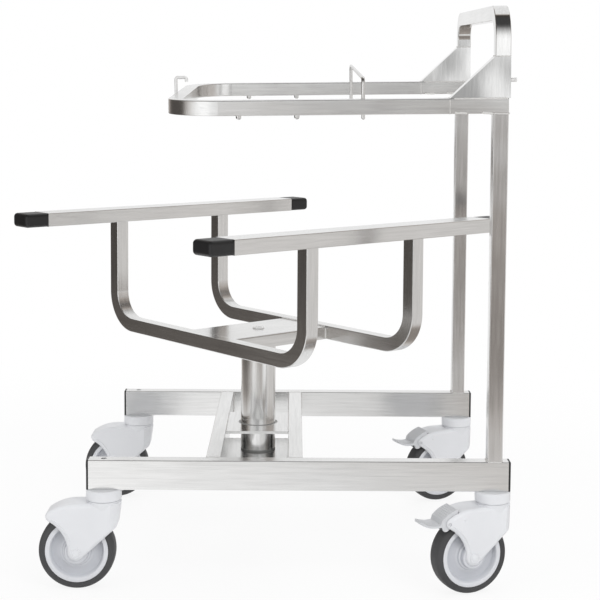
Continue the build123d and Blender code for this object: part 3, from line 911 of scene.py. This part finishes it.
@dataclass
class Casters:
    """The four swivel casters.

    Their own axes start on a caster's axle, and X runs away from its nose.
    """

    turns: dict[str, float] = field(default_factory=lambda: {"left": 0.0, "right": 20.0})
    tyre_side: Profile = (
        (52.4, 15.0), (53.0, 15.7), (54.2, 16.0), (58.4, 15.9), (60.5, 15.3), (62.0, 13.9),
        (63.0, 12.0), (63.6, 9.6), (63.9, 6.5), (64.0, 3.0),
    )
    core_side: Profile = (
        (6.3, 21.0), (14.6, 21.0), (15.1, 20.4), (15.9, 20.4), (16.4, 21.0), (18.4, 21.0),
        (19.0, 20.4), (19.4, 17.0), (20.2, 13.6), (22.0, 13.2), (23.2, 12.4), (23.8, 10.4),
        (25.4, 9.2), (27.6, 8.9), (28.4, 8.0), (31.5, 6.4), (35.5, 5.3), (39.5, 5.0), (41.8, 5.8),
        (43.2, 8.0), (44.0, 11.2), (44.7, 13.8), (45.6, 14.9), (46.8, 15.2), (51.6, 15.2),
        (52.4, 14.9), (52.8, 14.2),
    )
    # painted shade on the wheel core: how deep the dish is, where its creases are, and how much darker
    # the dish, creases and hub are painted
    core_rim: float = 14.9
    core_depth: float = 9.9
    core_creases: Pair = (20.0, 24.2)
    crease_width: float = 1.2
    core_edge: float = 45.0
    depth_shade: float = 0.40
    crease_shade: float = 0.60
    hub_shade: float = 0.16
    cheek: float = 26.0
    bead_radius: float = 1.1
    bead_middle: Pair = (-72.6, 0.0)
    bead_sweep: float = 65.4
    bead_angles: Pair = (9.0, 59.0)
    pin: Pair = (-45.74, 60.70)
    second_pin: Pair = (-19.0, 66.5)
    button: Profile = ((0.0, 1.0), (1.5, 0.9), (2.2, 0.5), (2.5, -0.4), (0.0, -0.4))
    boss: Profile = (
        (0.0, 2.2), (5.0, 2.2), (5.6, 1.9), (6.0, 1.3), (6.6, 1.3), (7.0, 2.0), (7.6, 2.2),
        (8.2, 1.9), (8.5, 0.8), (0.0, 0.8),
    )
    ramp_middle: Pair = (31.30, -34.76)
    ramp_sweep: float = 58.8
    ramp_angles: range = range(108, 137, 4)
    rib: Point = (1.3, 35.0, 1.2)
    lining: Point = (1.2, 30.0, 6.0)
    lining_place: Pair = (-10.3, -9.4)
    lining_turn: float = -26.0
    bevel_share: float = 0.28

    def place(self, corner: str) -> Matrix:
        """Place of a caster's axle.

        Args:
            corner: Name of the corner.

        Returns:
            The place, turned as the caster was left.
        """
        low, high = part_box(f"caster_axle_{corner}")
        turn = Matrix.Rotation(math.radians(self.turns[corner.split("_")[1]]), 4, "Z")
        return Matrix.Translation((low + high) / 2) @ turn

    def wheel_core(self) -> Piece:
        """Spun core, whose vertices carry painted shade: darker deeper in the dish, in its two creases
        and over the hub.
        """
        core = settle(spin_profile(both_sides(self.core_side)), "core", angle=34.0)
        painted_shade_layer = core.data.attributes.new(PAINTED_SHADE, "FLOAT", "POINT")
        for vertex, value in zip(core.data.vertices, painted_shade_layer.data):
            radius = math.hypot(vertex.co.x, vertex.co.z) / MM
            depth = max(0.0, self.core_rim - abs(vertex.co.y) / MM) / self.core_depth
            nearness = (1.0 - abs(radius - line) / self.crease_width for line in self.core_creases)
            crease = max(0.0, *nearness)
            hub = self.hub_shade if radius < self.core_creases[0] else 0.0
            shade = min(1.0, self.depth_shade * depth + self.crease_shade * crease + hub)
            value.value = shade if radius < self.core_edge else 0.0
        return core

    def cheek_bead(self) -> Piece:
        """Raised beads along the front edges of both cheeks, as sectors of a ring."""
        beads = []
        for y in (-self.cheek, self.cheek):
            clear_selection()
            bpy.ops.mesh.primitive_torus_add(major_segments=180, minor_segments=12,
                                             major_radius=self.bead_sweep * MM,
                                             minor_radius=self.bead_radius * MM)
            bead = bpy.context.object
            bpy.ops.object.mode_set(mode="EDIT")
            for angle, side in zip(self.bead_angles, (1.0, -1.0)):
                spread = math.radians(angle)
                away = (side * math.sin(spread), -side * math.cos(spread), 0.0)
                bpy.ops.mesh.select_all(action="SELECT")
                bpy.ops.mesh.bisect(plane_co=(0.0, 0.0, 0.0), plane_no=away, clear_outer=True,
                                    use_fill=True)
            bpy.ops.object.mode_set(mode="OBJECT")
            spot = Vector((self.bead_middle[0], y, self.bead_middle[1])) * MM
            put(bead, Matrix.Translation(spot) @ Matrix.Rotation(math.pi / 2, 4, "X"))
            beads.append(bead)
        return settle(join(beads), "cheek_bead")

    def heads(self, name: str, profile: Profile, spot: Pair) -> Piece:
        """Spun heads on the outsides of both cheeks.

        Args:
            name: Name of the piece.
            profile: Side of a head, from its middle outward.
            spot: Middle of the heads on the caster's side view.

        Returns:
            The two heads.
        """
        heads = []
        for sign in (-1, 1):
            head = spin_profile(profile, steps=48)
            middle = Vector((spot[0], sign * self.cheek, spot[1])) * MM
            put(head, Matrix.Translation(middle) @ Matrix.Diagonal((1.0, sign, 1.0, 1.0)))
            heads.append(head)
        return settle(join(heads), name)

    def bar(self, size: Point, spot: Pair, turn: float) -> Piece:
        """Bevelled bar across the pedal.

        Args:
            size: Its three sides.
            spot: Its middle on the caster's side view, from the pedal's pin.
            turn: Its turn in degrees.

        Returns:
            The bar.
        """
        clear_selection()
        bpy.ops.mesh.primitive_cube_add(size=1.0)
        piece = bpy.context.object
        put(piece, Matrix.Diagonal((*(side * MM for side in size), 1.0)))
        bpy.ops.object.mode_set(mode="EDIT")
        bpy.ops.mesh.select_all(action="SELECT")
        bpy.ops.mesh.bevel(offset=self.bevel_share * min(size) * MM, segments=3, affect="EDGES")
        bpy.ops.object.mode_set(mode="OBJECT")
        middle = Vector((self.pin[0] + spot[0], 0.0, self.pin[1] + spot[1])) * MM
        put(piece, Matrix.Translation(middle) @ Matrix.Rotation(math.radians(turn), 4, "Y"))
        return piece

    def ramp_ribs(self) -> Piece:
        """Grip ribs across the pedal's ramp."""
        ribs = []
        for angle in self.ramp_angles:
            spread = math.radians(angle)
            x = self.ramp_middle[0] + self.ramp_sweep * math.cos(spread)
            z = self.ramp_middle[1] + self.ramp_sweep * math.sin(spread)
            ribs.append(self.bar(self.rib, (x, z), 90.0 - angle))
        return settle(join(ribs), "ramp_ribs")

    def build(self, dresser: Dresser) -> None:
        """Model the wheels, cheek beads, pins and pedal details once and copy them to the corners."""
        tyre = settle(spin_profile(both_sides(self.tyre_side)), "tyre")
        core, bead, ribs = self.wheel_core(), self.cheek_bead(), self.ramp_ribs()
        boss = self.heads("axle_boss", self.boss, (0.0, 0.0))
        pins = self.heads("cheek_pins", self.button, self.second_pin)
        lining = self.bar(self.lining, self.lining_place, self.lining_turn)
        lining = settle(lining, "brake_lining")
        for corner in CORNERS:
            spot, wheel, swivel = self.place(corner), f"wheel_{corner}", f"swivel_{corner}"
            made = copy(tyre, f"tyre_{corner}", spot)
            dresser.fit(made, TYRE_GREY, wheel, "tyre", f"wheel_tyre_{corner}")
            made = copy(core, f"core_{corner}", spot)
            dresser.fit(made, CORE_GREY, wheel, "core_plastic", f"wheel_core_{corner}")
            dresser.fit(copy(bead, f"cheek_bead_{corner}", spot), CASTER_GREY, swivel, "grey_plastic")
            dresser.fit(copy(boss, f"axle_boss_{corner}", spot), CASTER_GREY, swivel, "grey_plastic")
            if corner in BRAKED:
                pedal = f"pedal_{corner}"
                made = copy(pins, f"cheek_pins_{corner}", spot)
                dresser.fit(made, CASTER_GREY, swivel, "grey_plastic")
                made = copy(ribs, f"ramp_ribs_{corner}", spot)
                dresser.fit(made, PEDAL_GREY, pedal, "grey_plastic")
                made = copy(lining, f"brake_lining_{corner}", spot)
                dresser.fit(made, BLACK_CAP, pedal, "black_plastic")
        discard(tyre, core, bead, boss, pins, ribs, lining)

    def dress(self, dresser: Dresser) -> None:
        """Put the finishes on."""
        for corner in CORNERS:
            moulded = (f"caster_housing_{corner}", f"caster_mount_{corner}", f"caster_axle_{corner}")
            dresser.paint(CASTER_GREY, *moulded)
            dresser.paint(CORE_GREY, f"wheel_core_{corner}")
            dresser.paint(TYRE_GREY, f"wheel_tyre_{corner}")
            if corner in BRAKED:
                dresser.paint(PEDAL_GREY, f"brake_pedal_{corner}")


@dataclass(frozen=True)
class Card:
    """Patch of the surroundings that only metal sees, in degrees, with its brightness.

    Bearing 0 is before the trolley. The patches are set after the photograph.
    """

    bearing: float
    height: float
    half_width: float
    half_height: float
    soft: float
    level: float


@dataclass(frozen=True)
class Room:
    """Brightness of the floor as only metal sees it, set after the photograph.

    Pairs are the places, in metres, between which a level sets in.
    """

    plain: float = 1.18
    side_slant: float = 0.45
    side_edge: Pair = (0.0, 0.5)
    lit_slant: float = 1.2
    lit_edge: Pair = (-0.2, 0.8)
    lit_share: float = 0.9
    dim: float = 0.76
    dim_before: Pair = (1.05, 2.0)
    dim_across: Pair = (-1.4, -0.5)
    far: float = 0.18
    far_before: Pair = (2.6, 5.0)
    left: float = 0.90
    left_edge: Pair = (0.5, 1.6)
    left_end: float = 0.04
    left_end_edge: Pair = (2.8, 4.0)
    left_depth: Pair = (-2.4, -1.2)
    right: float = 0.36
    right_edge: Pair = (-0.45, 0.60)
    handle: float = 0.6
    handle_edge: Pair = (0.42, 0.56)
    handle_reach: Pair = (0.85, 1.1)

    def level(self, across: Signal, depth: Signal, reach: Signal) -> Signal:
        """Brightness at a place of the floor.

        Args:
            across: Place along X.
            depth: Place along Y.
            reach: Distance from the origin.

        Returns:
            The level, where 1 is white.
        """
        before, away = 0.0 - depth, 0.0 - across
        side = (across - self.side_slant * before).rise(*self.side_edge)
        lit = side * (1.0 - (across - self.lit_slant * before).rise(*self.lit_edge))
        dim = before.rise(*self.dim_before) * across.rise(*self.dim_across) * (1.0 - side)
        far = before.rise(*self.far_before) * (1.0 - side)
        left = self.left * away.rise(*self.left_edge) + self.left_end * away.rise(*self.left_end_edge)
        right = self.right * across.rise(*self.right_edge) * (1.0 - self.lit_share * lit)
        handle = self.handle * across.rise(*self.handle_edge) * (1.0 - reach.rise(*self.handle_reach))
        room = self.plain - self.dim * dim + self.far * far
        room = room * (1.0 - left * depth.rise(*self.left_depth))
        return room * (1.0 - right) * (1.0 - handle)


@dataclass
class Studio:
    """Camera, white surroundings, soft lamps and floor."""

    camera_place: Point = (0.06295, -2.58925, 0.83609)
    ambient: float = 0.70
    back: float = 0.95
    cards: tuple[Card, ...] = (
        Card(97.0, 0.0, 28.0, 40.0, 26.0, 0.62),
        Card(0.0, 0.0, 34.0, 14.0, 14.0, 0.46),
        Card(-14.0, 0.0, 13.0, 14.0, 3.5, 0.95),
        Card(21.4, 20.0, 12.0, 20.0, 2.0, 1.30),
        Card(-112.0, 0.0, 18.0, 45.0, 48.0, 0.10),
        Card(-36.0, 0.0, 8.0, 18.0, 12.0, 1.20),
        Card(0.0, 90.0, 80.0, 35.0, 55.0, 0.06),
    )
    white: Colour = (1.0, 1.0, 1.0, 1.0)
    black: Colour = (0.0, 0.0, 0.0, 1.0)
    warm: Colour = (1.0, 0.90, 0.82, 1.0)
    camera_turn: Point = (0.263, 4.5835, 0.3714)  # yaw, pitch and roll in degrees
    focal: float = 1422.56
    image: float = 600.0
    sensor: float = 36.0
    principal: Pair = (300.0, 200.0)
    lamps: tuple[tuple[str, Point, float, float], ...] = (
        ("lamp_key", (1.6, -2.6, 2.6), 1.8, 38.0),
        ("lamp_fill", (-2.2, -1.8, 2.0), 2.2, 14.0),
        ("lamp_back", (0.6, 2.6, 2.8), 2.0, 24.0),
    )
    aim: Point = (0.05, 0.0, 0.5)
    room: Room = Room()
    warm_levels: Pair = (0.35, 0.95)
    warm_bearings: Pair = (30.0, 60.0)
    floor_side: float = 40.0
    floor_drop: float = -0.0006
    floor_cloud: float = 4.0
    floor_tones: tuple[Colour, Colour] = ((0.90, 0.90, 0.90, 1.0), (0.92, 0.92, 0.92, 1.0))
    glow_share: float = 0.88
    glow_reach: Pair = (0.7, 1.8)

    def set_camera(self) -> None:
        """Put the camera where the photograph was taken."""
        yaw, pitch, roll = (math.radians(angle) for angle in self.camera_turn)
        flat = math.cos(pitch)
        ahead = Vector((math.sin(yaw) * flat, math.cos(yaw) * flat, -math.sin(pitch)))
        level = Vector((math.cos(yaw), -math.sin(yaw), 0.0))
        above = level.cross(ahead)
        right = level * math.cos(roll) + above * math.sin(roll)
        top = above * math.cos(roll) - level * math.sin(roll)
        turn = Matrix((right, top, -ahead)).transposed()
        data = bpy.data.cameras.new("camera")
        data.sensor_width = self.sensor
        data.lens = self.focal / self.image * self.sensor
        data.shift_x = 0.5 - self.principal[0] / self.image
        data.shift_y = self.principal[1] / self.image - 0.5
        camera = bpy.data.objects.new("camera", data)
        camera.matrix_world = Matrix.Translation(self.camera_place) @ turn.to_4x4()
        bpy.context.scene.collection.objects.link(camera)
        bpy.context.scene.camera = camera

    def set_world(self) -> None:
        """White surroundings in which metal also sees the studio's darker and lighter cards."""
        world = bpy.data.worlds.new("studio")
        bpy.context.scene.world = world
        world.use_nodes = True
        graph = Graph(world.node_tree)
        way = graph.node("ShaderNodeTexCoord", output="Generated")
        right, ahead, above = (graph.part(way, axis) for axis in "XYZ")
        bearing = right.bearing(0.0 - ahead)
        height = above.bearing((right * right + ahead * ahead) ** 0.5)
        level: Signal | float = self.back
        for card in self.cards:
            wide, tall, soft = card.half_width, card.half_height, card.soft
            beside = (bearing - card.bearing).size().rise(wide, wide + soft)
            beyond = (height - card.height).size().rise(tall, tall + soft)
            level = (1.0 - beside) * (1.0 - beyond) * (card.level - level) + level
        seen, glossy, through = graph.rays()
        strength = self.ambient + glossy * (level - self.ambient)
        strength = strength + seen.larger(through) * (1.0 - strength)
        cool = (1.0 - glossy).larger(1.0 - bearing.size().rise(*self.warm_bearings))
        tint = graph.blend(strength.rise(*self.warm_levels).larger(cool), self.warm, self.white)
        light = {"Color": graph.scaled(tint, strength), "Strength": 1.0}
        graph.close(graph.node("ShaderNodeBackground", {}, light), "ShaderNodeOutputWorld")

    def set_lamps(self) -> None:
        """Large soft lamps that look at the middle of the trolley."""
        for name, place, size, power in self.lamps:
            data = bpy.data.lights.new(name, "AREA")
            data.size = size
            data.energy = power
            lamp = bpy.data.objects.new(name, data)
            aim = (Vector(self.aim) - Vector(place)).to_track_quat("-Z", "Y")
            lamp.matrix_world = Matrix.Translation(place) @ aim.to_matrix().to_4x4()
            lamp.visible_glossy = False
            bpy.context.scene.collection.objects.link(lamp)

    def set_floor(self) -> None:
        """Pale floor that is white to the camera, keeps the shadow and fades for metal."""
        clear_selection()
        bpy.ops.mesh.primitive_plane_add(size=self.floor_side, location=(0.0, 0.0, self.floor_drop))
        floor = bpy.context.object
        floor.name = "floor"
        bpy.ops.object.transform_apply(location=True, rotation=True, scale=True)
        material, graph = new_graph("floor_white")
        seen, glossy, through = graph.rays()
        spot = graph.node("ShaderNodeTexCoord", output="Object")
        reach = graph.node("ShaderNodeVectorMath", {"operation": "LENGTH"}, {0: spot}, "Value")
        room = self.room.level(graph.part(spot, "X"), graph.part(spot, "Y"), reach)
        mirrored = glossy * (1.0 - seen)
        glow_level = 1.0 + mirrored * (room - 1.0)
        dry = {"Roughness": 1.0, "Specular IOR Level": 0.0}
        pale = graph.blend(graph.noise(spot, self.floor_cloud), *self.floor_tones)
        matt = graph.node("ShaderNodeBsdfPrincipled", {}, {**dry, "Base Color": pale})
        tint = graph.blend(glow_level.rise(*self.warm_levels), self.warm, self.white)
        shine = {"Emission Color": graph.scaled(tint, glow_level), "Emission Strength": 1.0}
        glow = graph.node("ShaderNodeBsdfPrincipled", {}, {**dry, **shine, "Base Color": self.black})
        open_floor = reach.rise(*self.glow_reach).larger(mirrored)
        share = self.glow_share + (1.0 - self.glow_share) * open_floor
        share = share * seen.larger(glossy).larger(through)
        graph.close(graph.node("ShaderNodeMixShader", {}, {0: share, 1: matt, 2: glow}))
        floor.data.materials.append(material)

    def build(self) -> None:
        """Set the whole studio."""
        bpy.context.scene.view_settings.view_transform = "Standard"
        self.set_camera()
        self.set_world()
        self.set_lamps()
        self.set_floor()
        LOG.info("studio with %d lamps", len(self.lamps))


def main() -> None:
    """Load the frame, build and dress the trolley, and set the studio."""
    logging.basicConfig(level=logging.INFO, format="%(name)s: %(message)s")
    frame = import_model()
    dresser = Dresser(frame)
    for group in (Base(), UpperFrame(), Cradle(), Casters()):
        group.build(dresser)
        group.dress(dresser)
    Studio().build()


if __name__ == "__main__":
    main()
